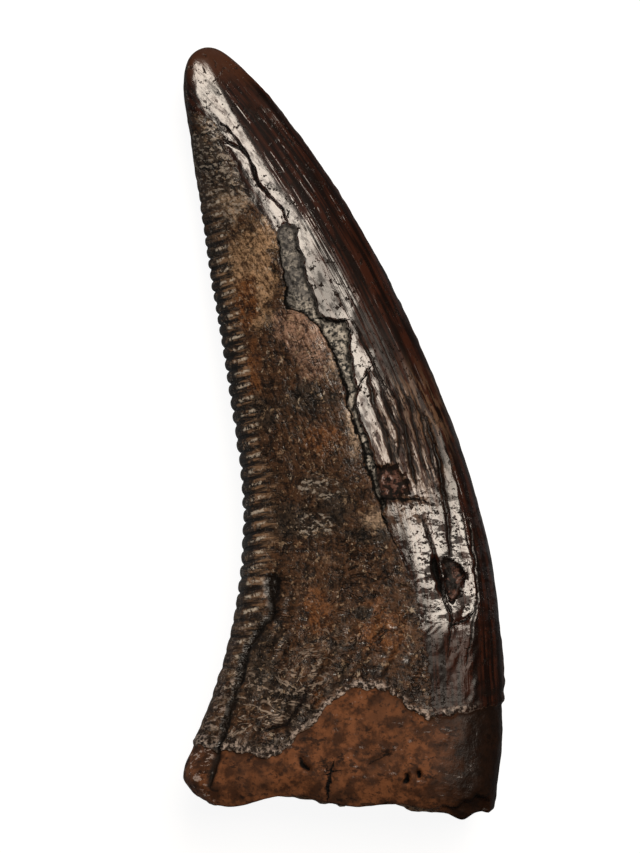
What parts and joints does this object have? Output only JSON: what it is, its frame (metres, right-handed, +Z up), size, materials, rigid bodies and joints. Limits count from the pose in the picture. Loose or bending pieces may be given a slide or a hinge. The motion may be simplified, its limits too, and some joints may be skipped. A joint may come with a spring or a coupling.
{
  "type": "fossil tyrannosaur tooth",
  "caption": "Fossil tyrannosaur tooth lying on its side: a recurved crown with a serrated cutting edge, dark glossy cracked enamel and a broken stub of root.",
  "frame": {"origin": "on the surface that the tooth lies on, under the middle of its bounding box", "axes": "+Y from the broken root to the tip, +X towards the rounded front (mesial) edge, so -X towards the serrated cutting edge, +Z up out of the broad side that shows"},
  "size_m": [0.0126, 0.03, 0.0067],
  "materials": {
    "tooth": "dark brown fossil enamel, glossy down the crest and mesial side, satin and speckled elsewhere, with matt brown root and grey dentine in the chips"
  },
  "bodies": {
    "root": {"tooth": "tooth"}
  },
  "joints": []
}
